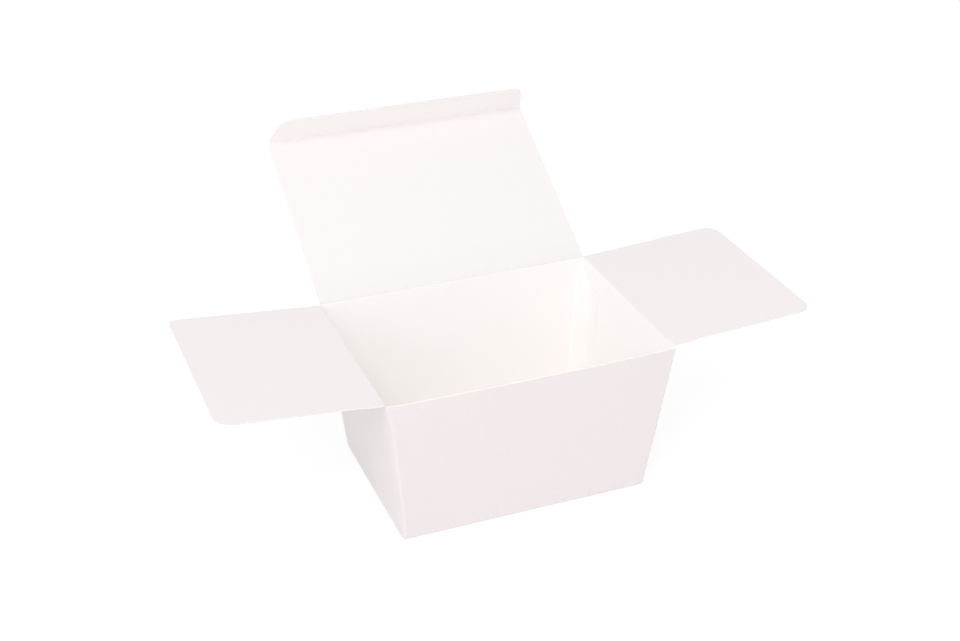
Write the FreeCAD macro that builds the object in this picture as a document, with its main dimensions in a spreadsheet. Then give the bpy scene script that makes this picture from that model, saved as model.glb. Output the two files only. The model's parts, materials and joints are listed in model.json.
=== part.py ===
import FreeCAD, Part
import os
import Sketcher

# Ballotin carton: a tapered chocolate box folded from one sheet of white boxboard.
# Origin: middle of the base underside. +X right, +Y back, +Z up; the front panel faces -Y.
# The tub is one folded and glued piece. Two side flaps, the lid and its tuck tab move.

doc = FreeCAD.newDocument("ballotin")

# ---------------------------------------------------------------- driving dimensions
DIMENSIONS = [
    # board and folds
    ("board", 0.45, "thickness of the boxboard"),
    ("corner_fold", 1.3, "outer radius of the four upright folds"),
    ("base_fold", 1.0, "outer radius of the folds round the base"),
    ("crease_out", 0.1, "how far a crease lies outside its panel's outer face"),
    ("crease_gap", 0.2, "clearance left at a crease between the two panels"),
    # tub
    ("top_length", 140, "length of the rim, left to right"),
    ("top_depth", 99.2, "depth of the rim, front to back"),
    ("base_length", 122.5, "length of the base"),
    ("base_depth", 84.2, "depth of the base"),
    ("rim_height", 78.2, "height of the front and back panels"),
    ("crease_step", 0.75, "how much lower the side creases lie than the lid crease"),
    # glue lap inside the right panel
    ("lap_width", 20, "width of the glue lap"),
    ("lap_drop", 6, "distance from the rim to the top of the lap"),
    ("lap_slant", 7, "height of the lap's slanted top end"),
    # base closure
    ("end_flap_reach", 36, "reach of a glued end flap over the base"),
    ("end_flap_slant", 9, "taper at each side of a glued end flap"),
    ("tongue_width", 44, "width of the locking tongue at the middle of the base"),
    ("tongue_back", 20, "where the tongue leaves the rear base flap"),
    ("tongue_front", 16, "reach of the tongue past the middle line"),
    ("tongue_slant", 7, "taper at each side of the tongue"),
    ("seam_shift", 7, "offset of the base seam either side of the middle line"),
    ("seam_turn", 9, "half width of the seam's slanted middle run"),
    ("seam_width", 0.4, "width of the base seam"),
    # side flaps
    ("flap_length", 73.4, "length of a side flap from its crease"),
    ("flap_corner", 8, "radius of a side flap's free corners"),
    ("flap_back_inset", 0.8, "inset of a flap's rear edge from the back panel"),
    ("flap_gap", 0.4, "clearance between the side flaps and the tucked tab"),
    ("shoulder_length", 7, "length of the full-width shoulder beside the crease"),
    ("shoulder_step", 0.8, "depth of the step after the shoulder"),
    ("shoulder_run", 5, "length over which the step runs in"),
    ("flap_front_taper", 0.3, "extra inset of the front edge at the free end"),
    ("left_flap_angle", 5.1, "left flap above level"),
    ("right_flap_angle", 3.6, "right flap above level"),
    # lid and tuck tab
    ("lid_side_inset", 0.25, "inset of the lid's side edges from the rim"),
    ("lid_angle", 30.4, "lid above level, leaning back"),
    ("tuck_gap", 0.3, "clearance between the tucked tab and the front panel"),
    ("tab_length", 19.6, "length of the tuck tab"),
    ("tab_side_inset", 1.0, "inset of the tab's ends at its crease"),
    ("tab_taper", 4.0, "how much each end of the tab narrows to its free edge"),
    ("tab_corner", 6, "radius of the tab's free corners"),
    ("tab_bend", 97, "fold between lid and tab"),
]

sizes = doc.addObject("Spreadsheet::Sheet", "sizes")
for row, (alias, value, note) in enumerate(DIMENSIONS, start=1):
    sizes.set(f"A{row}", note)
    sizes.set(f"B{row}", str(value))
    sizes.setAlias(f"B{row}", alias)
doc.recompute()

# Places and lengths that several pieces share, worked out from the sheet.
HALF_LENGTH = "(sizes.top_length / 2)"
HALF_DEPTH = "(sizes.top_depth / 2)"
CREASE_RISE = "(sizes.board / 2 + sizes.crease_gap)"
LID_CREASE_Y = f"({HALF_DEPTH} + sizes.crease_out)"
LID_CREASE_Z = f"(sizes.rim_height + {CREASE_RISE})"
FLAP_CREASE_X = f"({HALF_LENGTH} + sizes.crease_out)"
FLAP_CREASE_Z = f"({LID_CREASE_Z} - sizes.crease_step)"
LID_LENGTH = f"({LID_CREASE_Y} + {HALF_DEPTH} - 1.5 * sizes.board - sizes.tuck_gap)"
SHOULDER_INSET = "(2 * sizes.board + sizes.tuck_gap + sizes.flap_gap)"
ROUNDED_EDGE = "sizes.board * 0.45"

TINY = 1e-4


def value_of(expression):
    """The number that an expression gives with the present sizes."""
    return float(sizes.evalExpression(expression.replace("sizes.", "")))


# ---------------------------------------------------------------- drawing helpers
def origin_plane(body, role):
    """One of the body's own origin planes."""
    return next(item for item in body.Origin.OriginFeatures if item.Role == role)


def pin(sketch, line, x, y):
    """Hold the start of a sketch line at the distances x and y from the origin."""
    for kind, distance in (("DistanceX", x), ("DistanceY", y)):
        constraint = Sketcher.Constraint(kind, -1, 1, line, 1, value_of(distance))
        index = sketch.addConstraint(constraint)
        sketch.setExpression(f"Constraints[{index}]", distance)


def outline(body, name, corners, level="0", plane="XY_Plane"):
    """Closed sketch through the corners, pairs of expressions, on an origin plane or above it."""
    sketch = body.newObject("Sketcher::SketchObject", name)
    sketch.AttachmentSupport = [(origin_plane(body, plane), "")]
    sketch.MapMode = "FlatFace"
    sketch.setExpression("AttachmentOffset.Base.z", level)
    spots = [FreeCAD.Vector(value_of(x), value_of(y), 0) for x, y in corners]
    for index, start in enumerate(spots):
        sketch.addGeometry(Part.LineSegment(start, spots[(index + 1) % len(spots)]))
    for index, (x, y) in enumerate(corners):
        following = (index + 1) % len(corners)
        sketch.addConstraint(Sketcher.Constraint("Coincident", index, 2, following, 1))
        pin(sketch, index, x, y)
    return sketch


def pad(body, sketch, thickness, midplane=False):
    """Extrude a sketch to one side, or evenly to both."""
    feature = body.newObject("PartDesign::Pad", f"{body.Name}_pad")
    feature.Profile = sketch
    feature.setExpression("Length", thickness)
    feature.Midplane = midplane
    doc.recompute()
    return feature


def tapered_block(name, foot, head, bottom):
    """Body with flat leaning sides, from the foot at the bottom level to the head at the rim.

    Foot and head are each (left, right, front, back).
    """
    body = doc.addObject("PartDesign::Body", name)
    block = body.newObject("PartDesign::AdditiveWedge", f"{name}_block")
    upright = FreeCAD.Rotation(FreeCAD.Vector(1, 0, 0), 90)
    block.Placement = FreeCAD.Placement(FreeCAD.Vector(), upright)
    left, right, front, back = foot
    bounds = {"Xmin": left, "Xmax": right, "Zmin": f"-({back})", "Zmax": f"-({front})"}
    left, right, front, back = head
    bounds |= {"X2min": left, "X2max": right, "Z2min": f"-({back})", "Z2max": f"-({front})"}
    bounds |= {"Ymin": bottom, "Ymax": "sizes.rim_height"}
    for bound, expression in bounds.items():
        block.setExpression(bound, expression)
    doc.recompute()
    return body


def round_edges(body, name, radius, wanted):
    """Fillet those edges of the body that the wanted test picks."""
    feature = body.Tip
    picked = [f"Edge{n}" for n, edge in enumerate(feature.Shape.Edges, start=1) if wanted(edge)]
    fillet = body.newObject("PartDesign::Fillet", f"{body.Name}_{name}")
    fillet.Base = (feature, picked)
    fillet.setExpression("Radius", radius)
    doc.recompute()


def combine(kind, name, **links):
    """A boolean of finished shapes."""
    result = doc.addObject(kind, name)
    for link, target in links.items():
        setattr(result, link, target)
    doc.recompute()
    return result


# ---------------------------------------------------------------- tub
def tub_block(name, inset, bottom, corner_radius):
    """The tub's form drawn inset from its outer faces, with the upright folds rounded."""

    def rectangle(length, depth):
        x = f"({length} / 2 - {inset})"
        y = f"({depth} / 2 - {inset})"
        return (f"-{x}", x, f"-{y}", y)

    foot = rectangle("sizes.base_length", "sizes.base_depth")
    head = rectangle("sizes.top_length", "sizes.top_depth")
    body = tapered_block(name, foot, head, bottom)
    shortest_fold = value_of("sizes.rim_height") / 2
    round_edges(
        body,
        "corner_folds",
        corner_radius,
        lambda edge: edge.BoundBox.ZLength > shortest_fold,
    )
    return body


def tub_shell():
    """Four tapered panels and the lower layer of the base, with every fold rounded."""
    outside = tub_block("tub_outside", "0", "0", "sizes.corner_fold")
    round_edges(outside, "base_folds", "sizes.base_fold", lambda edge: edge.BoundBox.ZMax < TINY)
    inner_radius = "sizes.corner_fold - sizes.board"
    inside = tub_block("tub_inside", "sizes.board", "sizes.board", inner_radius)
    return combine("Part::Cut", "tub_shell", Base=outside, Tool=inside)


def side_rim_relief():
    """Block that lowers the side panels to their creases, between front and back panels."""
    relief = doc.addObject("Part::Box", "side_rim_relief")
    width = "(sizes.top_depth - 2 * sizes.board)"
    relief.setExpression("Length", "sizes.top_length + 2 * sizes.board")
    relief.setExpression("Width", width)
    relief.setExpression("Height", "2 * sizes.crease_step")
    relief.setExpression("Placement.Base.x", f"-({HALF_LENGTH} + sizes.board)")
    relief.setExpression("Placement.Base.y", f"-{width} / 2")
    relief.setExpression("Placement.Base.z", "sizes.rim_height - sizes.crease_step")
    return relief


def base_seam():
    """Z-shaped gap where the front and rear base flaps meet."""
    body = doc.addObject("PartDesign::Body", "base_seam")
    reach = "(sizes.base_length / 2 - sizes.base_fold - sizes.board)"
    half = "sizes.seam_width / 2"
    front_side = [
        (f"-{reach}", f"sizes.seam_shift - {half}"),
        (f"-sizes.seam_turn - {half}", f"sizes.seam_shift - {half}"),
        (f"sizes.seam_turn - {half}", f"-sizes.seam_shift - {half}"),
        (reach, f"-sizes.seam_shift - {half}"),
    ]
    rear_side = [
        (reach, f"-sizes.seam_shift + {half}"),
        (f"sizes.seam_turn + {half}", f"-sizes.seam_shift + {half}"),
        (f"-sizes.seam_turn + {half}", f"sizes.seam_shift + {half}"),
        (f"-{reach}", f"sizes.seam_shift + {half}"),
    ]
    pad(body, outline(body, "base_seam_outline", front_side + rear_side), "sizes.board")
    return body


def end_flap(name, side):
    """Glued end flap of the base, lying on the two long base flaps."""
    body = doc.addObject("PartDesign::Body", name)
    root = "(sizes.base_length / 2 - sizes.board / 2)"
    tip = f"({root} - sizes.end_flap_reach)"
    root_half = "(sizes.base_depth / 2 - sizes.board / 2)"
    tip_half = f"({root_half} - sizes.end_flap_slant)"
    corners = [
        (f"{side} * {root}", f"-{root_half}"),
        (f"{side} * {tip}", f"-{tip_half}"),
        (f"{side} * {tip}", tip_half),
        (f"{side} * {root}", root_half),
    ]
    pad(body, outline(body, f"{name}_outline", corners, "sizes.board"), "sizes.board")
    return body


def locking_tongue():
    """Tongue of the rear base flap that lies over the front one."""
    body = doc.addObject("PartDesign::Body", "locking_tongue")
    root = "(sizes.tongue_width / 2)"
    tip = f"({root} - sizes.tongue_slant)"
    corners = [
        (f"-{root}", "sizes.tongue_back"),
        (f"-{tip}", "-sizes.tongue_front"),
        (tip, "-sizes.tongue_front"),
        (root, "sizes.tongue_back"),
    ]
    pad(body, outline(body, "locking_tongue_outline", corners, "sizes.board"), "sizes.board")
    return body


def glue_lap():
    """Lap of the back panel, glued inside the right panel, with a slanted top end."""

    def rectangle(length, depth):
        wall = f"({length} / 2 - sizes.board / 2)"
        face = f"({wall} - 1.5 * sizes.board)"
        back = f"({depth} / 2 - sizes.board / 2)"
        edge = f"({back} - sizes.lap_width)"
        return (face, wall, edge, back)

    foot = rectangle("sizes.base_length", "sizes.base_depth")
    head = rectangle("sizes.top_length", "sizes.top_depth")
    strip = tapered_block("lap_strip", foot, head, "sizes.board")
    cut = doc.addObject("PartDesign::Body", "lap_end_cut")
    lap_top = "(sizes.rim_height - sizes.lap_drop)"
    above = "(sizes.rim_height + sizes.board)"
    edge = f"({HALF_DEPTH} - 2 * sizes.lap_width)"
    wedge = [
        (edge, f"{lap_top} - 2 * sizes.lap_slant"),
        (HALF_DEPTH, lap_top),
        (HALF_DEPTH, above),
        (edge, above),
    ]
    side_view = outline(cut, "lap_end_cut_outline", wedge, plane="YZ_Plane")
    pad(cut, side_view, "sizes.top_length")
    return combine("Part::Cut", "glue_lap", Base=strip, Tool=cut)


def box_body():
    """The folded and glued tub."""
    lowered = combine("Part::Cut", "lowered_sides", Base=tub_shell(), Tool=side_rim_relief())
    seamed = combine("Part::Cut", "seamed_base", Base=lowered, Tool=base_seam())
    glued = [end_flap("left_end_flap", -1), end_flap("right_end_flap", 1)]
    glued += [locking_tongue(), glue_lap()]
    return combine("Part::MultiFuse", "box_body", Shapes=[seamed] + glued)


# ---------------------------------------------------------------- moving panels
def hang_on_crease(body, x, y, z, axis, angle):
    """Place a flat panel, drawn with its crease at the origin, at its resting angle."""
    body.Placement = FreeCAD.Placement(FreeCAD.Vector(), FreeCAD.Rotation(axis, 1))
    body.setExpression("Placement.Base.x", x)
    body.setExpression("Placement.Base.y", y)
    body.setExpression("Placement.Base.z", z)
    body.setExpression("Placement.Rotation.Angle", angle)


def round_crease(body, across):
    """Round both long edges of a panel at its crease, which lies at zero across it."""
    round_edges(
        body,
        "crease",
        ROUNDED_EDGE,
        lambda edge: abs(getattr(edge.BoundBox, f"{across}Min")) < TINY
        and abs(getattr(edge.BoundBox, f"{across}Max")) < TINY
        and edge.BoundBox.ZLength < TINY,
    )


def side_flap(name, side, angle):
    """Dust flap hinged on a side panel: shoulder, stepped front edge, rounded free corners."""
    body = doc.addObject("PartDesign::Body", name)
    front = f"(-{HALF_DEPTH} + {SHOULDER_INSET})"
    back = f"({HALF_DEPTH} - sizes.flap_back_inset)"
    step_end = "(sizes.shoulder_length + sizes.shoulder_run)"
    corners = [
        ("0", front),
        (f"{side} * sizes.shoulder_length", front),
        (f"{side} * {step_end}", f"{front} + sizes.shoulder_step"),
        (f"{side} * sizes.flap_length", f"{front} + sizes.flap_front_taper"),
        (f"{side} * sizes.flap_length", back),
        ("0", back),
    ]
    pad(body, outline(body, f"{name}_outline", corners), "sizes.board", midplane=True)
    reach = value_of("sizes.flap_length")
    round_edges(
        body,
        "free_corners",
        "sizes.flap_corner",
        lambda edge: edge.BoundBox.ZLength > TINY
        and max(abs(edge.BoundBox.XMin), abs(edge.BoundBox.XMax)) > reach - TINY,
    )
    round_crease(body, "X")
    crease_x = f"{side} * {FLAP_CREASE_X}"
    down = FreeCAD.Vector(0, -side, 0)
    hang_on_crease(body, crease_x, "0", FLAP_CREASE_Z, down, angle)
    return body


def lid():
    """Lid panel hinged on the back panel."""
    body = doc.addObject("PartDesign::Body", "lid")
    half = f"({HALF_LENGTH} - sizes.lid_side_inset)"
    far = f"({LID_LENGTH} - {CREASE_RISE})"
    corners = [(f"-{half}", "0"), (half, "0"), (half, far), (f"-{half}", far)]
    pad(body, outline(body, "lid_outline", corners), "sizes.board", midplane=True)
    round_crease(body, "Y")
    right = FreeCAD.Vector(1, 0, 0)
    hang_on_crease(body, "0", LID_CREASE_Y, LID_CREASE_Z, right, "sizes.lid_angle")
    return body


def tuck_tab():
    """Tab along the lid's free edge, folded down to tuck behind the front panel."""
    body = doc.addObject("PartDesign::Body", "tuck_tab")
    root = f"({HALF_LENGTH} - sizes.tab_side_inset)"
    tip = f"({root} - sizes.tab_taper)"
    corners = [
        (f"-{root}", "0"),
        (root, "0"),
        (tip, "sizes.tab_length"),
        (f"-{tip}", "sizes.tab_length"),
    ]
    pad(body, outline(body, "tuck_tab_outline", corners), "sizes.board", midplane=True)
    reach = value_of("sizes.tab_length")
    round_edges(
        body,
        "free_corners",
        "sizes.tab_corner",
        lambda edge: edge.BoundBox.ZLength > TINY and edge.BoundBox.YMin > reach - TINY,
    )
    round_crease(body, "Y")
    crease_y = f"{LID_CREASE_Y} + {LID_LENGTH} * cos(sizes.lid_angle)"
    crease_z = f"{LID_CREASE_Z} + {LID_LENGTH} * sin(sizes.lid_angle)"
    right = FreeCAD.Vector(1, 0, 0)
    hang_on_crease(body, "0", crease_y, crease_z, right, "sizes.lid_angle + sizes.tab_bend")
    return body


# ---------------------------------------------------------------- build and write
nodes = [
    box_body(),
    side_flap("left_flap", -1, "sizes.left_flap_angle"),
    side_flap("right_flap", 1, "sizes.right_flap_angle"),
    lid(),
    tuck_tab(),
]
doc.recompute()

for item in doc.Objects:
    if "Invalid" in item.State or "Error" in item.State:
        raise RuntimeError(f"{item.Name} did not build: {item.State}")
for node in nodes:
    if node.Shape.isNull() or not node.Shape.isValid():
        raise RuntimeError(f"{node.Label} has no valid shape")
    if len(node.Shape.Solids) != 1:
        raise RuntimeError(f"{node.Label} is {len(node.Shape.Solids)} solids, not one")

os.makedirs("parts", exist_ok=True)
for node in nodes:
    node.Shape.exportStep(f"parts/{node.Label}.step")
    print(f"{node.Label}: {node.Shape.Volume:.1f} cubic mm")
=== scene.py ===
import json
import math

import bpy
from mathutils import Matrix, Vector


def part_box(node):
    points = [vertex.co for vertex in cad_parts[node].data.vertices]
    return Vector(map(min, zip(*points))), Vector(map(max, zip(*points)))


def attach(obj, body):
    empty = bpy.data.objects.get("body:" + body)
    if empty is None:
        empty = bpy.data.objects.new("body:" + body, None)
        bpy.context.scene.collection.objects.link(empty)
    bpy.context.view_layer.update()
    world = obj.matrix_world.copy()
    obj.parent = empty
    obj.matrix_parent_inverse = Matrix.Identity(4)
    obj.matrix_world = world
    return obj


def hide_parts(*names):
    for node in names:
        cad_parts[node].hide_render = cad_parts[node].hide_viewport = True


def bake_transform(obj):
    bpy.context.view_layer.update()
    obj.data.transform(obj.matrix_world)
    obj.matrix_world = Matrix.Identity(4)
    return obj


# Ballotin carton in white coated board, open and empty, standing on a pale floor.
# The tub, its glued base, the two side flaps, the lid and the tuck tab are thin sheets of
# one board thickness, joined by rounded creases.

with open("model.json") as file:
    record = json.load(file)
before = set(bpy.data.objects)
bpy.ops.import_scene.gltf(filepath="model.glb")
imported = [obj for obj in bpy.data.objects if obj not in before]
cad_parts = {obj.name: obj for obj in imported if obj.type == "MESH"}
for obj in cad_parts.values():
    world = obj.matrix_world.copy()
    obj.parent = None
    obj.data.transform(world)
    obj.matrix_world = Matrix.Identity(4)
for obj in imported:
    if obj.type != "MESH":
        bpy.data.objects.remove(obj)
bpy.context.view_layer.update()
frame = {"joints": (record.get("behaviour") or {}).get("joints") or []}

MM = 0.001
CLOSE = 0.1 * MM  # reach within which a corner counts as lying on a line
CUT_SOFTENING = 0.05 * MM
SHARP_EDGE = math.radians(60)
SMOOTH_BELOW = math.radians(32)

# ------------------------------------------------------------------ sizes of the carton
JOINTS = {joint["name"]: joint for joint in frame["joints"]}
TUB_LOW, TUB_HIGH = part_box("box_body")
BOARD = 0.45 * MM
RIM = TUB_HIGH[2]
HALF_DEPTH = TUB_HIGH[1]
CREASE_OUT = 0.1 * MM
CREASE_GAP = 0.2 * MM
CREASE_STEP = 0.75 * MM
HALF_LENGTH = JOINTS["right_flap_crease"]["pos_m"][0] - CREASE_OUT
BASE_HALF_LENGTH = 61.25 * MM
BASE_HALF_DEPTH = 42.1 * MM
SIDE_TOP = RIM - CREASE_STEP
RIGHT_RISE = 0.7 * MM
RIM_FOLD = 0.9 * MM
SOFT_FOLD = 3.2 * MM
CRISP_FOLD = 0.9 * MM
SIDE_PANEL_SWEEP = 7 * MM
LONG_PANEL_SWEEP = 1.9 * MM
FRONT_LEFT_ALONG = 2.3 * MM
FRONT_LEFT_SWEEP = 11 * MM
FOLD_SETTLES = 24 * MM
FRONT_BOW = 1.6 * MM
BASE_FOLD = 0.6 * MM
TUB_CUTS = 9 * MM
PANEL_CUTS = 8 * MM
FOLD_RADIUS = 0.4 * MM
FLAP_FOLD_RADIUS = 0.25 * MM
TAB_FOLD_RADIUS = 0.36 * MM

FLAP_LENGTH = 73.15 * MM
FLAP_FRONT = -HALF_DEPTH + 1.6 * MM
FLAP_BACK = HALF_DEPTH - 0.8 * MM
FLAP_BACK_RIGHT = HALF_DEPTH - 0.4 * MM
FRONT_CORNER = 7.4 * MM
BACK_CORNER = 8 * MM
LEFT_BACK_CORNER = 4.5 * MM
SHOULDER_LENGTH = 7 * MM
SHOULDER_RUN = 5 * MM
SHOULDER_STEP = 0.8 * MM
FLAP_TAPER = 0.3 * MM
LEFT_ANGLE = math.radians(5.1)
RIGHT_ANGLE = math.radians(3.3)

LID_ANGLE = math.radians(30.4)
TAB_BEND = math.radians(97)
LID_LEFT_INSET = 0.4 * MM
LID_RIGHT_INSET = 0.8 * MM
FOLD_SHADE_WIDTH = 2 * MM
TAB_LENGTH = 19.6 * MM
TAB_SIDE_INSET = 1.0 * MM
TAB_RIGHT_INSET = 0.65 * MM
TAB_TAPER = 4 * MM
TAB_CORNER = 6 * MM

LAP_WIDTH = 20 * MM
LAP_DROP = 6 * MM
LAP_SLANT = 7 * MM
LAP_CORNER = 5 * MM
LAP_FOLD = 4 * MM
LAP_STANDS = 0.25 * MM
LAP_SUNK = 0.1 * MM
LAP_REACH = 3.6 * MM
LAP_SWEEP = 11.5 * MM
LAP_SWEEP_GROWS = 0.35
LAP_REACH_SHRINKS = 0.18
LAP_EASE = 1.6
LAP_FADE = 13 * MM

BASE_FLAP_CORNER = 3 * MM
END_FLAP_REACH = 36 * MM
END_FLAP_SLANT = 9 * MM
TONGUE_HALF = 22 * MM
TONGUE_SLANT = 7 * MM
TONGUE_BACK = 20 * MM
TONGUE_FRONT = -16 * MM
SEAM_SHIFT = 7 * MM
SEAM_TURN = 9 * MM
SEAM_HALF = 0.2 * MM


def crease(name):
    """Where a joint's crease runs through the carton's middle planes."""
    return Vector(JOINTS[name]["pos_m"])


LID_LENGTH = (crease("tuck_tab_crease") - crease("lid_crease")).length


# ------------------------------------------------------------------ bench tools
def let_go():
    """Nothing selected, nothing being edited."""
    if bpy.context.object and bpy.context.object.mode != "OBJECT":
        bpy.ops.object.mode_set(mode="OBJECT")
    bpy.ops.object.select_all(action="DESELECT")


def take(piece):
    """Only this piece selected and active."""
    let_go()
    piece.select_set(True)
    bpy.context.view_layer.objects.active = piece


def pick(piece, kind, wanted):
    """Edit the piece with only the wanted faces, edges or corners selected."""
    take(piece)
    bpy.ops.object.mode_set(mode="EDIT")
    bpy.ops.mesh.select_mode(type=kind)
    bpy.ops.mesh.select_all(action="DESELECT")
    bpy.ops.object.mode_set(mode="OBJECT")
    mesh = piece.data
    if kind == "VERT":
        for corner in mesh.vertices:
            corner.select = wanted(corner.co)
    elif kind == "EDGE":
        for edge in mesh.edges:
            ends = [mesh.vertices[i].co for i in edge.vertices]
            edge.select = wanted(ends[0], ends[1])
    else:
        for face in mesh.polygons:
            face.select = wanted(face.center, face.normal)
    bpy.ops.object.mode_set(mode="EDIT")


def cut(piece, place, direction):
    """One straight cut through the whole sheet."""
    take(piece)
    bpy.ops.object.mode_set(mode="EDIT")
    bpy.ops.mesh.select_all(action="SELECT")
    bpy.ops.mesh.bisect(plane_co=place, plane_no=direction)
    bpy.ops.object.mode_set(mode="OBJECT")


def cut_row(piece, axis, start, end, spacing):
    """Evenly spaced cuts square to an axis, so that the sheet can bow between them."""
    count = max(1, round((end - start) / spacing))
    direction = Vector((axis == 0, axis == 1, axis == 2))
    for step in range(1, count):
        cut(piece, direction * (start + (end - start) * step / count), direction)


def fix_place(piece):
    """The piece's turn and place go into its mesh."""
    take(piece)
    bpy.ops.object.transform_apply(location=True, rotation=True, scale=True)


def apply_modifier(piece, kind, **settings):
    """Add one modifier and apply it at once."""
    take(piece)
    modifier = piece.modifiers.new(kind.title(), kind)
    for name, value in settings.items():
        setattr(modifier, name, value)
    bpy.ops.object.modifier_apply(modifier=modifier.name)


def soften_edges(piece, joined):
    """Soften the cut edges a little, apart from those that meet another sheet at a fold."""
    take(piece)
    bpy.ops.object.mode_set(mode="EDIT")
    bpy.ops.mesh.select_mode(type="EDGE")
    bpy.ops.mesh.select_all(action="DESELECT")
    bpy.ops.mesh.edges_select_sharp(sharpness=SHARP_EDGE)
    bpy.ops.object.mode_set(mode="OBJECT")
    mesh = piece.data
    for edge in mesh.edges:
        if edge.select and all(joined(mesh.vertices[i].co) for i in edge.vertices):
            edge.select = False
    bpy.ops.object.mode_set(mode="EDIT")
    bpy.ops.mesh.bevel(offset=CUT_SOFTENING, segments=2, affect="EDGES", clamp_overlap=True)
    bpy.ops.object.mode_set(mode="OBJECT")


def give_thickness(piece, offset=0.0, thickness=BOARD, joined=lambda co: False):
    """Board thickness for a finished sheet, with bare cut edges, softened a little."""
    apply_modifier(
        piece,
        "SOLIDIFY",
        thickness=thickness,
        offset=offset,
        use_even_offset=True,
        material_offset=1,
        material_offset_rim=2,
    )
    soften_edges(piece, joined)
    take(piece)
    bpy.ops.object.shade_smooth_by_angle(angle=SMOOTH_BELOW)
    apply_modifier(piece, "WEIGHTED_NORMAL", mode="FACE_AREA", weight=100, keep_sharp=True)


# ------------------------------------------------------------------ materials
def board_material(name, light_tone, dark_tone, roughness, sheen_coat, fibre):
    """Clay-coated white board: faint mottling, fine fibre bump and slow waviness."""
    material = bpy.data.materials.new(name)
    material.use_nodes = True
    nodes = material.node_tree.nodes
    links = material.node_tree.links
    shader = nodes["Principled BSDF"]
    place = nodes.new("ShaderNodeTexCoord")

    def noise(scale, detail):
        node = nodes.new("ShaderNodeTexNoise")
        node.inputs["Scale"].default_value = scale
        node.inputs["Detail"].default_value = detail
        links.new(place.outputs["Object"], node.inputs["Vector"])
        return node.outputs["Fac"]

    mottle = nodes.new("ShaderNodeMapRange")
    mottle.inputs["From Min"].default_value = 0.3
    mottle.inputs["From Max"].default_value = 0.7
    links.new(noise(420, 5), mottle.inputs["Value"])
    tone = nodes.new("ShaderNodeMix")
    tone.data_type = "RGBA"
    tone.inputs["A"].default_value = (*dark_tone, 1)
    tone.inputs["B"].default_value = (*light_tone, 1)
    links.new(mottle.outputs["Result"], tone.inputs["Factor"])
    links.new(tone.outputs["Result"], shader.inputs["Base Color"])

    gloss = nodes.new("ShaderNodeMapRange")
    gloss.inputs["To Min"].default_value = roughness - 0.05
    gloss.inputs["To Max"].default_value = roughness + 0.05
    links.new(noise(60, 3), gloss.inputs["Value"])
    links.new(gloss.outputs["Result"], shader.inputs["Roughness"])

    fine = nodes.new("ShaderNodeBump")
    fine.inputs["Strength"].default_value = fibre
    fine.inputs["Distance"].default_value = 0.02 * MM
    links.new(noise(2600, 6), fine.inputs["Height"])
    slow = nodes.new("ShaderNodeBump")
    slow.inputs["Strength"].default_value = 0.5
    slow.inputs["Distance"].default_value = 0.25 * MM
    links.new(noise(45, 2), slow.inputs["Height"])
    links.new(fine.outputs["Normal"], slow.inputs["Normal"])
    links.new(slow.outputs["Normal"], shader.inputs["Normal"])

    shader.inputs["Coat Weight"].default_value = sheen_coat
    shader.inputs["Coat Roughness"].default_value = 0.3
    return material


COATED = {"roughness": 0.5, "sheen_coat": 0.15, "fibre": 0.3}
FOLD_HIGHLIGHT_FINISH = {"roughness": 0.5, "sheen_coat": 0.15, "fibre": 0.5}
TUB_LINING = {"roughness": 0.7, "sheen_coat": 0.0, "fibre": 0.45}
PANEL_LINING = {"roughness": 0.65, "sheen_coat": 0.0, "fibre": 0.45}
CREASED = {"roughness": 0.7, "sheen_coat": 0.0, "fibre": 0.5}
BARE_EDGE = {"roughness": 0.85, "sheen_coat": 0.0, "fibre": 0.9}

OUTSIDE = board_material(
    "coated_outside", (0.738, 0.685, 0.684), (0.723, 0.671, 0.67), **COATED
)
# Tub's inner face: the same board face as the tops of the flaps, lid and tab, set lighter as
# painted light for the bright inside of the tub.
LIT_TUB_INSIDE = board_material(
    "tub_inside_painted_light", (0.984, 0.959, 0.946), (0.974, 0.949, 0.936), **TUB_LINING
)
PANEL_INSIDE = board_material(
    "panel_inside", (0.85, 0.798, 0.797), (0.84, 0.788, 0.787), **PANEL_LINING
)
# Lid's inner face: the same board face, set darker as painted shade to hold down the brightly lit
# lid.
LID_INSIDE_SHADED = board_material(
    "lid_inside_painted_shade", (0.814, 0.783, 0.777), (0.804, 0.773, 0.767), **PANEL_LINING
)
# Tub's rim edge: bare board fibre, set lighter than the other cut edges as a painted highlight
# along the rim.
RIM_EDGE_LIT = board_material(
    "rim_edge_painted_highlight", (0.948, 0.908, 0.888), (0.91, 0.862, 0.842), **BARE_EDGE
)
# Cut edges of the flaps, lid and tab: bare board fibre, set darker as painted shade along the
# edges.
CUT_EDGE_SHADED = board_material(
    "cut_edge_painted_shade", (0.8, 0.745, 0.735), (0.75, 0.695, 0.685), **BARE_EDGE
)
# Outer side of the crease folds: the coated outside set lighter, as a painted highlight on the
# folds.
FOLD_HIGHLIGHT = board_material(
    "fold_painted_highlight", (0.77, 0.716, 0.714), (0.755, 0.702, 0.7), **FOLD_HIGHLIGHT_FINISH
)
# Tab's inner face: the same board face, set lighter as painted light for the tab that faces down to
# the front.
TAB_INSIDE_LIT = board_material(
    "tab_inside_painted_light", (0.878, 0.848, 0.838), (0.868, 0.838, 0.828), **PANEL_LINING
)
# Band on the lid along the tab's fold: its own copy of the lid's tone, painted shade for the
# rounded fold, now set to almost the lid's tone.
FOLD_SHADE_BAND = board_material(
    "lid_fold_painted_shade", (0.815, 0.778, 0.767), (0.805, 0.768, 0.757), **PANEL_LINING
)
# Inner side of the crease folds, and the glue lap's cut edge: set darker than the faces beside
# them, as painted shade in the creases and along the lap's edge.
CREASE_SHADE = board_material(
    "crease_painted_shade", (0.84, 0.79, 0.785), (0.82, 0.77, 0.76), **CREASED
)

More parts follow.
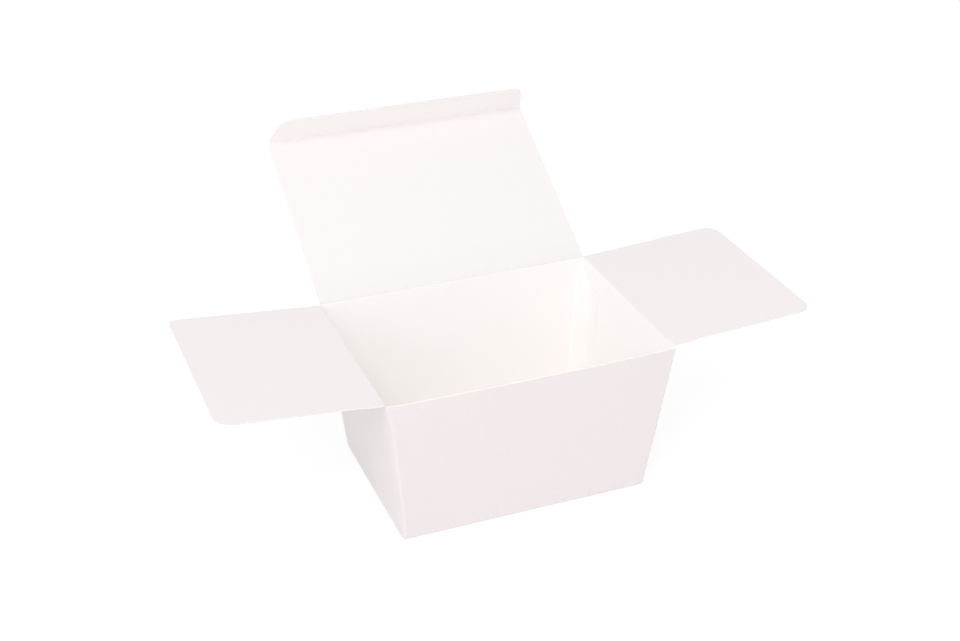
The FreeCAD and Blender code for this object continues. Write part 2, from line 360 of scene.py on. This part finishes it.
# Each sheet carries its drawn side, its back, its cut edge, and both sides of its fold.
TUB_BOARD = (OUTSIDE, LIT_TUB_INSIDE, RIM_EDGE_LIT)
PANEL_BOARD = (PANEL_INSIDE, OUTSIDE, CUT_EDGE_SHADED, CREASE_SHADE, FOLD_HIGHLIGHT)
LID_BOARD = (LID_INSIDE_SHADED, OUTSIDE, CUT_EDGE_SHADED, LID_INSIDE_SHADED, FOLD_HIGHLIGHT, FOLD_SHADE_BAND, OUTSIDE)
TAB_BOARD = (TAB_INSIDE_LIT, OUTSIDE, CUT_EDGE_SHADED, TAB_INSIDE_LIT, FOLD_HIGHLIGHT)
INNER_BOARD = (LIT_TUB_INSIDE, OUTSIDE, LIT_TUB_INSIDE)
# The lap's cut edge takes the crease's painted shade, standing in for the shadow line along its
# free edge.
LAP_BOARD = (LIT_TUB_INSIDE, OUTSIDE, CREASE_SHADE)
FOLD_MATERIAL = 3
FOLD_SHADE_MATERIAL = 5


def dress(piece, name, board):
    """Name and materials of a sheet."""
    piece.name = name
    piece.data.name = name
    piece.data.materials.clear()
    for material in board:
        piece.data.materials.append(material)


# ------------------------------------------------------------------ the natural set of the board
def smooth_step(value):
    """0 below 0, 1 above 1, smooth between."""
    value = min(max(value, 0.0), 1.0)
    return value * value * (3 - 2 * value)


def settle(piece):
    """The small bow that the front panel takes towards its free edge."""
    for corner in piece.data.vertices:
        x, y, z = corner.co
        across = 1 - (x / HALF_LENGTH) ** 4
        height = min(z / RIM, 1.0)
        front = smooth_step((-y - 30 * MM) / (10 * MM))
        if across > 0 and z <= RIM + BOARD:
            corner.co.y -= FRONT_BOW * across * height**2 * front


# ------------------------------------------------------------------ tub
def wall_lean(half_top, half_base):
    """Outward lean of a panel for each metre of height."""
    return (half_top - half_base) / RIM


def tub():
    """Four panels and the two meeting base flaps, drawn as the carton's outer face."""
    let_go()
    bpy.ops.mesh.primitive_cube_add(size=1, location=(0, 0, RIM / 2))
    piece = bpy.context.object
    piece.scale = (2 * HALF_LENGTH, 2 * HALF_DEPTH, RIM)
    dress(piece, "tub", TUB_BOARD)
    fix_place(piece)
    pick(piece, "FACE", lambda middle, normal: normal.z < -0.9)
    shrink = (BASE_HALF_LENGTH / HALF_LENGTH, BASE_HALF_DEPTH / HALF_DEPTH, 1)
    bpy.ops.transform.resize(value=shrink, center_override=(0, 0, 0))
    pick(piece, "FACE", lambda middle, normal: normal.z > 0.9)
    bpy.ops.mesh.delete(type="ONLY_FACE")
    pick(piece, "EDGE", lambda a, b: abs(a.z - b.z) > RIM / 2)
    bpy.ops.mesh.bevel(offset=SOFT_FOLD, segments=12, affect="EDGES")
    pick(piece, "EDGE", lambda a, b: a.z < BOARD and b.z < BOARD)
    bpy.ops.mesh.bevel(offset=BASE_FOLD, segments=4, affect="EDGES")
    bpy.ops.object.mode_set(mode="OBJECT")

    # Side panels end at their creases, just below the rim.
    for rise in (0, RIGHT_RISE):
        cut(piece, (0, 0, SIDE_TOP + rise), (0, 0, 1))
    slot_half = HALF_DEPTH - BOARD
    cut(piece, (0, slot_half, 0), (0, 1, 0))
    cut(piece, (0, -slot_half, 0), (0, 1, 0))
    pick(
        piece,
        "FACE",
        lambda middle, normal: middle.z > SIDE_TOP + RIGHT_RISE * (middle.x > 0)
        and abs(middle.y) < slot_half,
    )
    bpy.ops.mesh.delete(type="FACE")

    # Cuts for the bows, and holding cuts beside the folds.
    near_fold = SOFT_FOLD + 0.4 * MM
    for side in (-1, 1):
        for half, base_half, axis in (
            (HALF_LENGTH, BASE_HALF_LENGTH, 0),
            (HALF_DEPTH, BASE_HALF_DEPTH, 1),
        ):
            lean = wall_lean(half, base_half)
            direction = Vector((axis == 0, axis == 1, 0)) * side - Vector((0, 0, lean))
            place = Vector((axis == 0, axis == 1, 0)) * side * (base_half - near_fold)
            cut(piece, place, direction)
    cut(piece, (0, 0, BASE_FOLD + 0.8 * MM), (0, 0, 1))
    cut_row(piece, 2, 0, RIM, TUB_CUTS)
    cut_row(piece, 0, -HALF_LENGTH, HALF_LENGTH, TUB_CUTS)
    cut_row(piece, 1, -HALF_DEPTH, HALF_DEPTH, TUB_CUTS)
    split_base(piece)
    tighten_folds(piece)
    settle(piece)
    take(piece)
    bpy.ops.object.mode_set(mode="EDIT")
    bpy.ops.mesh.select_all(action="SELECT")
    bpy.ops.mesh.normals_make_consistent(inside=False)
    bpy.ops.object.mode_set(mode="OBJECT")

    def under_a_fold(co):
        beside = abs(co.y) < slot_half - 0.5 * MM and co.z > SIDE_TOP - CLOSE
        behind = co.y > HALF_DEPTH - 2 * BOARD and co.z > RIM - CLOSE
        return beside and abs(co.x) > HALF_LENGTH - 2 * BOARD or behind

    give_thickness(piece, offset=-1.0, joined=under_a_fold)
    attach(piece, "tub")
    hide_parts("box_body")
    return piece


def split_base(piece):
    """Open the Z-shaped seam where the front and rear base flaps meet."""
    lean = Vector((SEAM_SHIFT, SEAM_TURN, 0)).normalized()
    rows = (
        (Vector((0, SEAM_SHIFT, 0)), Vector((0, 1, 0))),
        (Vector((0, 0, 0)), lean),
        (Vector((0, -SEAM_SHIFT, 0)), Vector((0, 1, 0))),
    )
    for middle, across in rows:
        for side in (-1, 1):
            pick(piece, "FACE", lambda place, normal: normal.z < -0.9 and place.z < CLOSE)
            bpy.ops.mesh.bisect(plane_co=middle + across * side * SEAM_HALF, plane_no=across)
            bpy.ops.object.mode_set(mode="OBJECT")
    reach = BASE_HALF_LENGTH - BASE_FOLD - BOARD

    def in_seam(place, normal):
        if place.z > CLOSE or abs(place.x) > reach:
            return False
        if place.x < -SEAM_TURN:
            middle, across = rows[0]
        elif place.x > SEAM_TURN:
            middle, across = rows[2]
        else:
            middle, across = rows[1]
        return abs((place - middle).dot(across)) < SEAM_HALF

    pick(piece, "FACE", in_seam)
    bpy.ops.mesh.delete(type="FACE")
    bpy.ops.object.mode_set(mode="OBJECT")


def fold_reach(x, y, z):
    """How far an upright fold reaches along its long and its side panel at a height.

    The folds are pressed tight at the rim and at the base. Between them the front left
    one and the one with the glue lap sweep round into their side panels, and the front
    left one stays softer at the base.
    """
    soft = smooth_step((RIM - z - 4 * MM) / (10 * MM))
    if x < 0 and y < 0:
        soft *= smooth_step((z + 5 * MM) / (12 * MM))
    else:
        soft *= smooth_step((z + 2 * MM) / (8 * MM))
    along, sideways = CRISP_FOLD, CRISP_FOLD
    if x * y > 0:
        along, sideways = LONG_PANEL_SWEEP, SIDE_PANEL_SWEEP
        if y < 0:
            along, sideways = FRONT_LEFT_ALONG, FRONT_LEFT_SWEEP
    return RIM_FOLD + (along - RIM_FOLD) * soft, RIM_FOLD + (sideways - RIM_FOLD) * soft


def drawn_in(off, reach):
    """New distance from a corner line, when the fold there gets its own reach."""
    if off <= SOFT_FOLD:
        return off * reach / SOFT_FOLD
    if off < FOLD_SETTLES:
        return reach + (off - SOFT_FOLD) * (FOLD_SETTLES - reach) / (FOLD_SETTLES - SOFT_FOLD)
    return off


def tighten_folds(piece):
    """Give each upright fold its own reach along both of its panels."""
    for corner in piece.data.vertices:
        x, y, z = corner.co
        half_length = BASE_HALF_LENGTH + wall_lean(HALF_LENGTH, BASE_HALF_LENGTH) * z
        half_depth = BASE_HALF_DEPTH + wall_lean(HALF_DEPTH, BASE_HALF_DEPTH) * z
        off_x = half_length - abs(x)
        off_y = half_depth - abs(y)
        along, sideways = fold_reach(x, y, z)
        if off_y <= SOFT_FOLD:
            corner.co.x = math.copysign(half_length - drawn_in(off_x, along), x)
        if off_x <= SOFT_FOLD:
            corner.co.y = math.copysign(half_depth - drawn_in(off_y, sideways), y)


def base_sheet(name, corners):
    """A flat base sheet lying on the two long base flaps, from its four corners."""
    near, far = corners[0][0], corners[2][0]
    piece = flat_sheet(name, min(near, far), max(near, far), -10 * MM, 10 * MM, INNER_BOARD)
    for corner in piece.data.vertices:
        at_near = abs(corner.co.x - near) < abs(corner.co.x - far)
        at_low = corner.co.y < 0
        x, y = corners[{(1, 1): 0, (1, 0): 1, (0, 0): 2, (0, 1): 3}[(at_near, at_low)]]
        corner.co = (x, y, BOARD * 1.5)
    return piece


def end_flap(name, side):
    """End flap of the base, glued on the two long base flaps."""
    root = BASE_HALF_LENGTH - BOARD
    tip = root - END_FLAP_REACH
    half = BASE_HALF_DEPTH - BOARD / 2
    tip_half = half - END_FLAP_SLANT
    corners = (
        (side * root, -half),
        (side * root, half),
        (side * tip, tip_half),
        (side * tip, -tip_half),
    )
    piece = base_sheet(name, corners)
    round_corners(piece, BASE_FLAP_CORNER, lambda co: True)
    face_to(piece, Vector((0, 0, 1)))
    give_thickness(piece)
    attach(piece, "tub")
    return piece


def locking_tongue():
    """Tongue of the rear base flap that lies over the front one."""
    low, high = TONGUE_FRONT, TONGUE_BACK
    piece = flat_sheet("locking_tongue", -TONGUE_HALF, TONGUE_HALF, low, high, INNER_BOARD)
    pick(piece, "VERT", lambda co: co.y < 0)
    narrow = (TONGUE_HALF - TONGUE_SLANT) / TONGUE_HALF
    bpy.ops.transform.resize(value=(narrow, 1, 1), center_override=(0, 0, 0))
    bpy.ops.object.mode_set(mode="OBJECT")
    round_corners(piece, BASE_FLAP_CORNER, lambda co: co.y < 0)
    pick(piece, "VERT", lambda co: True)
    bpy.ops.transform.translate(value=(0, 0, BOARD * 1.5))
    face_to(piece, Vector((0, 0, 1)))
    give_thickness(piece)
    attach(piece, "tub")
    return piece


def glue_lap():
    """Lap of the back panel: round the soft fold, then glued flat inside the right panel.

    The sheet is drawn as the lap's inner face, and lies flush where it is pressed hardest.
    """
    top = RIM - LAP_DROP
    piece = flat_sheet("glue_lap", -LAP_WIDTH, LAP_FOLD, BOARD, top, LAP_BOARD)
    pick(piece, "VERT", lambda co: co.x < -LAP_WIDTH / 2 and co.y > RIM / 2)
    bpy.ops.transform.translate(value=(0, -LAP_SLANT, 0))
    round_corners(piece, LAP_CORNER, lambda co: co.x < -LAP_WIDTH / 2 and co.y > RIM / 2)
    cut_row(piece, 0, -LAP_WIDTH, LAP_FOLD, LAP_FOLD / 12)
    cut_row(piece, 1, BOARD, top, 5 * MM)
    for corner in piece.data.vertices:
        along, z, _ = corner.co
        x = BASE_HALF_LENGTH + wall_lean(HALF_LENGTH, BASE_HALF_LENGTH) * z - BOARD
        y = BASE_HALF_DEPTH + wall_lean(HALF_DEPTH, BASE_HALF_DEPTH) * z - BOARD
        soft = (fold_reach(x, y, z)[1] - RIM_FOLD) / (SIDE_PANEL_SWEEP - RIM_FOLD)
        below = 1 - z / RIM
        reach = RIM_FOLD + (LAP_REACH * (1 - LAP_REACH_SHRINKS * below) - RIM_FOLD) * soft
        sweep = RIM_FOLD + (LAP_SWEEP * (1 + LAP_SWEEP_GROWS * below) - RIM_FOLD) * soft
        pressed = smooth_step((z - RIM + LAP_FADE) / (10 * MM))
        if along > 0:
            turn = along / LAP_FOLD * math.pi / 2
            x -= reach * (1 - math.cos(turn) ** LAP_EASE) - LAP_SUNK * pressed
            y -= sweep * (1 - math.sin(turn) ** LAP_EASE)
            y += LAP_SUNK * smooth_step(2 * along / LAP_FOLD - 1)
        else:
            stands = LAP_STANDS * (1 - below) ** 2 * smooth_step(-2 * along / LAP_WIDTH)
            x += LAP_SUNK * pressed - stands * (1 - pressed)
            y += along * (LAP_WIDTH - sweep) / LAP_WIDTH - sweep
        corner.co = (x, y, z)
    face_to(piece, Vector((-1, 0, 0)))
    give_thickness(piece, offset=-1.0, thickness=BOARD - 1.5 * LAP_SUNK)
    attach(piece, "tub")
    return piece


# ------------------------------------------------------------------ panels on creases
def line_meeting(point_a, direction_a, point_b, direction_b):
    """Where two lines in a side view meet."""
    across = direction_a.x * direction_b.y - direction_a.y * direction_b.x
    gap = point_b - point_a
    along = (gap.x * direction_b.y - gap.y * direction_b.x) / across
    return point_a + direction_a * along


def heading(angle):
    """Direction of an angle in a side view."""
    return Vector((math.cos(angle), math.sin(angle)))


def fold_points(parent_end, parent_angle, crease_place, panel_angle, radius=FOLD_RADIUS):
    """Side view of the board through a fold, from the panel back to its parent's end."""
    parent_way = heading(parent_angle)
    panel_way = heading(panel_angle)
    meeting = line_meeting(parent_end, parent_way, crease_place, panel_way)
    bend = abs(parent_angle - panel_angle)
    reach = radius * math.tan(bend / 2)
    start = meeting + panel_way * reach
    turn = -1 if panel_angle < parent_angle else 1
    normal = Vector((-parent_way.y, parent_way.x)) * turn
    middle = meeting - parent_way * reach + normal * radius
    points = []
    steps = 6
    for step in range(1, steps + 1):
        angle = panel_angle + (parent_angle - panel_angle) * step / steps
        way = heading(angle)
        points.append(middle - Vector((-way.y, way.x)) * turn * radius)
    points.append(parent_end)
    return start, points


def hang_panel(
    piece, outward, crease_place, panel_angle, parent_end, parent_angle, radius=FOLD_RADIUS
):
    """Turn a flat sheet to its place and draw its near edge through the fold to its parent.

    The sheet lies in the XY plane with X running away from the crease.
    """
    across = Vector((0, 1, 0)) if outward.x else Vector((1, 0, 0))
    way = outward * math.cos(panel_angle) + Vector((0, 0, math.sin(panel_angle)))
    normal = way.cross(across)
    turned = Matrix((way, across, normal)).transposed().to_4x4()
    spot = outward * crease_place.x + Vector((0, 0, crease_place.y))
    piece.matrix_world = Matrix.Translation(spot) @ turned
    fix_place(piece)
    start, points = fold_points(parent_end, parent_angle, crease_place, panel_angle, radius)

    def side_view(spot3):
        return Vector((spot3.dot(outward), spot3.z))

    reach = (start - crease_place).dot(heading(panel_angle))
    pick(
        piece,
        "EDGE",
        lambda a, b: max(
            abs((side_view(end) - crease_place).dot(heading(panel_angle)) - reach) for end in (a, b)
        )
        < 0.01 * MM,
    )
    before = start
    for point in points:
        shift = point - before
        move = outward * shift.x + Vector((0, 0, shift.y))
        bpy.ops.mesh.extrude_region_move(TRANSFORM_OT_translate={"value": move})
        before = point
    bpy.ops.object.mode_set(mode="OBJECT")
    fold_way = heading(panel_angle)
    for face in piece.data.polygons:
        if (side_view(face.center) - start).dot(fold_way) < 0:
            face.material_index = FOLD_MATERIAL
    face_to(piece, Vector((0, 0, math.cos(panel_angle))) - outward * math.sin(panel_angle))
    return start


def flat_sheet(name, near, far, low, high, board=PANEL_BOARD):
    """A rectangle of board in the XY plane, from near to far along X and low to high along Y."""
    let_go()
    bpy.ops.mesh.primitive_plane_add(size=1, location=((near + far) / 2, (low + high) / 2, 0))
    piece = bpy.context.object
    piece.scale = (far - near, high - low, 1)
    dress(piece, name, board)
    fix_place(piece)
    return piece


def fold_start(parent_end, parent_angle, crease_place, panel_angle, radius=FOLD_RADIUS):
    """How far from the crease the flat part of a panel begins."""
    start, _ = fold_points(parent_end, parent_angle, crease_place, panel_angle, radius)
    return (start - crease_place).dot(heading(panel_angle))


def face_to(piece, way):
    """Turn the drawn side of a sheet to face a way."""
    take(piece)
    bpy.ops.object.mode_set(mode="EDIT")
    bpy.ops.mesh.select_all(action="SELECT")
    bpy.ops.mesh.normals_make_consistent(inside=False)
    bpy.ops.object.mode_set(mode="OBJECT")
    facing = sum((face.normal * face.area for face in piece.data.polygons), Vector())
    if facing.dot(way) < 0:
        bpy.ops.object.mode_set(mode="EDIT")
        bpy.ops.mesh.flip_normals()
        bpy.ops.object.mode_set(mode="OBJECT")


def round_corners(piece, radius, wanted):
    """Round the corners of a flat sheet."""
    pick(piece, "VERT", wanted)
    bpy.ops.mesh.bevel(offset=radius, segments=10, affect="VERTICES")
    bpy.ops.object.mode_set(mode="OBJECT")


def side_flap(name, side, angle):
    """Dust flap: shoulder by the crease, stepped front edge, rounded free corners."""
    outward = Vector((side, 0, 0))
    lean = wall_lean(HALF_LENGTH, BASE_HALF_LENGTH)
    place = crease(f"{name}_crease")
    rise = RIGHT_RISE if side > 0 else 0
    radius = FLAP_FOLD_RADIUS
    crease_place = Vector((abs(place.x), place.z + rise))
    wall_angle = math.atan2(1, lean)
    wall_top = SIDE_TOP + rise
    wall_half = BASE_HALF_LENGTH + lean * wall_top
    parent_end = Vector((wall_half - BOARD / 2, wall_top))
    near = fold_start(parent_end, wall_angle, crease_place, angle, radius)
    back = FLAP_BACK_RIGHT if side > 0 else FLAP_BACK
    piece = flat_sheet(name + "_panel", near, FLAP_LENGTH, FLAP_FRONT, back)
    step_end = SHOULDER_LENGTH + SHOULDER_RUN
    cut(piece, (SHOULDER_LENGTH, 0, 0), (1, 0, 0))
    cut(piece, (step_end, 0, 0), (1, 0, 0))
    for reach, step in ((step_end, SHOULDER_STEP), (FLAP_LENGTH, FLAP_TAPER)):
        pick(piece, "VERT", lambda co: abs(co.x - reach) < CLOSE and co.y < 0)
        bpy.ops.transform.translate(value=(0, step, 0))
    back_corner = BACK_CORNER if side > 0 else LEFT_BACK_CORNER
    free_end = FLAP_LENGTH - CLOSE
    round_corners(piece, FRONT_CORNER, lambda co: co.x > free_end and co.y < 0)
    round_corners(piece, back_corner, lambda co: co.x > free_end and co.y > back - CLOSE)
    cut_row(piece, 0, step_end, FLAP_LENGTH, 5 * MM)
    cut_row(piece, 1, FLAP_FRONT, back, PANEL_CUTS)
    start = hang_panel(piece, outward, crease_place, angle, parent_end, wall_angle, radius)
    give_thickness(piece, joined=lambda co: co.z < parent_end.y + CLOSE)
    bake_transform(piece)
    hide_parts(name)
    return piece


def lid():
    """Lid panel, hinged on the back panel."""
    lean = wall_lean(HALF_DEPTH, BASE_HALF_DEPTH)
    place = crease("lid_crease")
    crease_place = Vector((place.y, place.z))
    wall_angle = math.atan2(1, lean)
    parent_end = Vector((HALF_DEPTH - BOARD / 2, RIM))
    near = fold_start(parent_end, wall_angle, crease_place, LID_ANGLE)
    left, right = LID_LEFT_INSET - HALF_LENGTH, HALF_LENGTH - LID_RIGHT_INSET
    far = LID_LENGTH - BOARD / 2 - CREASE_GAP
    piece = flat_sheet("lid_panel", near, far, left, right, LID_BOARD)
    # The band along the tab's fold gets its own material, painted shade for the rounded fold.
    cut(piece, (far - FOLD_SHADE_WIDTH, 0, 0), (1, 0, 0))
    for face in piece.data.polygons:
        if face.center.x > far - FOLD_SHADE_WIDTH:
            face.material_index = FOLD_SHADE_MATERIAL
    cut_row(piece, 0, near, far, 6 * MM)
    cut_row(piece, 1, left, right, PANEL_CUTS)
    outward = Vector((0, 1, 0))
    start = hang_panel(piece, outward, crease_place, LID_ANGLE, parent_end, wall_angle)
    give_thickness(
        piece,
        joined=lambda co: co.z < parent_end.y + CLOSE
        or co.y > crease("tuck_tab_crease").y - BOARD,
    )
    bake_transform(piece)
    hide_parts("lid")
    return piece


def tuck_tab():
    """Tab along the lid's free edge."""
    place = crease("tuck_tab_crease")
    crease_place = Vector((place.y, place.z))
    tab_angle = LID_ANGLE + TAB_BEND
    parent_end = crease_place - heading(LID_ANGLE) * (BOARD / 2 + CREASE_GAP)
    near = fold_start(parent_end, LID_ANGLE, crease_place, tab_angle, TAB_FOLD_RADIUS)
    half = HALF_LENGTH - TAB_SIDE_INSET
    piece = flat_sheet("tuck_tab_panel", near, TAB_LENGTH, -half, half, TAB_BOARD)
    pick(piece, "VERT", lambda co: co.x > TAB_LENGTH - CLOSE)
    narrow = (half - TAB_TAPER) / half
    bpy.ops.transform.resize(value=(1, narrow, 1), center_override=(0, 0, 0))
    pick(piece, "VERT", lambda co: co.x < TAB_LENGTH / 2 and co.y > 0)
    bpy.ops.transform.translate(value=(0, TAB_SIDE_INSET - TAB_RIGHT_INSET, 0))
    bpy.ops.object.mode_set(mode="OBJECT")
    round_corners(piece, TAB_CORNER, lambda co: co.x > TAB_LENGTH - CLOSE)
    cut_row(piece, 0, near, TAB_LENGTH, 4 * MM)
    cut_row(piece, 1, -half, half, PANEL_CUTS)
    outward = Vector((0, 1, 0))
    start = hang_panel(
        piece, outward, crease_place, tab_angle, parent_end, LID_ANGLE, TAB_FOLD_RADIUS
    )
    along_lid = Vector((0, *heading(LID_ANGLE)))
    lid_end = along_lid.dot((0, *parent_end))
    give_thickness(piece, joined=lambda co: abs(along_lid.dot(co) - lid_end) < 0.03 * MM)
    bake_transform(piece)
    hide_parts("tuck_tab")
    return piece


# ------------------------------------------------------------------ floor, light, camera
AMBIENT = 0.84
FLOOR_GLOW = 1.12
FLOOR_GLOW_SHARE = 0.7
SOFT_BOX = 0.9
STRIP_LENGTH = 1.8
STRIP_HEIGHT = 0.04
LAMP_AIM = Vector((0, 0, 0.1))
LENS = 58.81
SENSOR = 36
CAMERA_PLACE = (-0.2445, -0.5914, 0.4377)
CAMERA_YAW = math.radians(21.88)
CAMERA_PITCH = math.radians(29.14)
CAMERA_ROLL = math.radians(0.26)


def stage_material(name, seen_white, seen_share):
    """Pale matt floor that the camera sees as white, with the carton's shadow kept."""
    material = bpy.data.materials.new(name)
    material.use_nodes = True
    nodes = material.node_tree.nodes
    links = material.node_tree.links
    nodes.clear()
    output = nodes.new("ShaderNodeOutputMaterial")
    plain = nodes.new("ShaderNodeBsdfDiffuse")
    plain.inputs["Color"].default_value = (0.9, 0.9, 0.9, 1)
    glow = nodes.new("ShaderNodeEmission")
    glow.inputs["Color"].default_value = (1, 1, 1, 1)
    glow.inputs["Strength"].default_value = seen_white
    seen = nodes.new("ShaderNodeMixShader")
    seen.inputs["Fac"].default_value = seen_share
    links.new(plain.outputs["BSDF"], seen.inputs[1])
    links.new(glow.outputs["Emission"], seen.inputs[2])
    path = nodes.new("ShaderNodeLightPath")
    direct = nodes.new("ShaderNodeMath")
    direct.operation = "MAXIMUM"
    links.new(path.outputs["Is Camera Ray"], direct.inputs[0])
    links.new(path.outputs["Is Glossy Ray"], direct.inputs[1])
    any_way = nodes.new("ShaderNodeMath")
    any_way.operation = "MAXIMUM"
    links.new(direct.outputs["Value"], any_way.inputs[0])
    links.new(path.outputs["Is Transmission Ray"], any_way.inputs[1])
    choose = nodes.new("ShaderNodeMixShader")
    links.new(any_way.outputs["Value"], choose.inputs["Fac"])
    links.new(plain.outputs["BSDF"], choose.inputs[1])
    links.new(seen.outputs["Shader"], choose.inputs[2])
    links.new(choose.outputs["Shader"], output.inputs["Surface"])
    return material


def floor():
    """Large plain floor that the carton stands on."""
    let_go()
    bpy.ops.mesh.primitive_plane_add(size=8, location=(0, 0, -0.05 * MM))
    ground = bpy.context.object
    ground.name = "floor"
    ground.data.materials.append(stage_material("floor_white", FLOOR_GLOW, FLOOR_GLOW_SHARE))


def world_light():
    """Even white studio surround."""
    world = bpy.data.worlds.new("studio")
    bpy.context.scene.world = world
    world.use_nodes = True
    nodes = world.node_tree.nodes
    links = world.node_tree.links
    surround = nodes["Background"]
    surround.inputs["Color"].default_value = (1, 1, 1, 1)
    surround.inputs["Strength"].default_value = AMBIENT
    white = nodes.new("ShaderNodeBackground")
    white.inputs["Color"].default_value = (1, 1, 1, 1)
    white.inputs["Strength"].default_value = 1
    path = nodes.new("ShaderNodeLightPath")
    choose = nodes.new("ShaderNodeMixShader")
    links.new(path.outputs["Is Camera Ray"], choose.inputs["Fac"])
    links.new(surround.outputs["Background"], choose.inputs[1])
    links.new(white.outputs["Background"], choose.inputs[2])
    links.new(choose.outputs["Shader"], nodes["World Output"].inputs["Surface"])


def aimed_light(name, place, power):
    """A lamp aimed at the carton."""
    light = bpy.data.lights.new(name, "AREA")
    light.energy = power
    lamp = bpy.data.objects.new(name, light)
    bpy.context.collection.objects.link(lamp)
    lamp.location = place
    aim = LAMP_AIM - Vector(place)
    lamp.rotation_euler = aim.to_track_quat("-Z", "Y").to_euler()
    return light


def soft_light(name, place, size, power):
    """Large round soft box."""
    light = aimed_light(name, place, power)
    light.shape = "DISK"
    light.size = size


def strip_light(name, place, power):
    """Low soft strip, which lifts the upright faces without reaching into the tub."""
    light = aimed_light(name, place, power)
    light.shape = "RECTANGLE"
    light.size = STRIP_LENGTH
    light.size_y = STRIP_HEIGHT


def camera():
    """View from the front left, looking down into the tub."""
    lens = bpy.data.cameras.new("camera")
    lens.lens = LENS
    lens.sensor_width = SENSOR
    view = bpy.data.objects.new("camera", lens)
    bpy.context.collection.objects.link(view)
    yaw, pitch, roll = CAMERA_YAW, CAMERA_PITCH, CAMERA_ROLL
    forward = Vector(
        (math.sin(yaw) * math.cos(pitch), math.cos(yaw) * math.cos(pitch), -math.sin(pitch))
    )
    right = Vector((math.cos(yaw), -math.sin(yaw), 0))
    up = right.cross(forward)
    right_rolled = right * math.cos(roll) + up * math.sin(roll)
    up_rolled = up * math.cos(roll) - right * math.sin(roll)
    turned = Matrix((right_rolled, up_rolled, -forward)).transposed().to_4x4()
    view.matrix_world = Matrix.Translation(CAMERA_PLACE) @ turned
    bpy.context.scene.camera = view


tub()
end_flap("left_end_flap", -1)
end_flap("right_end_flap", 1)
locking_tongue()
glue_lap()
side_flap("left_flap", -1, LEFT_ANGLE)
side_flap("right_flap", 1, RIGHT_ANGLE)
lid()
tuck_tab()
floor()
world_light()
soft_light("left_key", (-1.6, -0.9, 1.0), SOFT_BOX, power=3.4)
soft_light("high_left_light", (-0.7, -1.0, 1.6), SOFT_BOX, power=9.8)
soft_light("high_right_light", (0.8, -1.0, 1.6), 2 * SOFT_BOX, power=0.6)
strip_light("low_left_strip", (-1.8, -0.3, 0.075), power=4.8)
strip_light("low_front_strip", (0.1, -1.8, 0.075), power=4.7)
camera()
bpy.context.scene.view_settings.view_transform = "Standard"
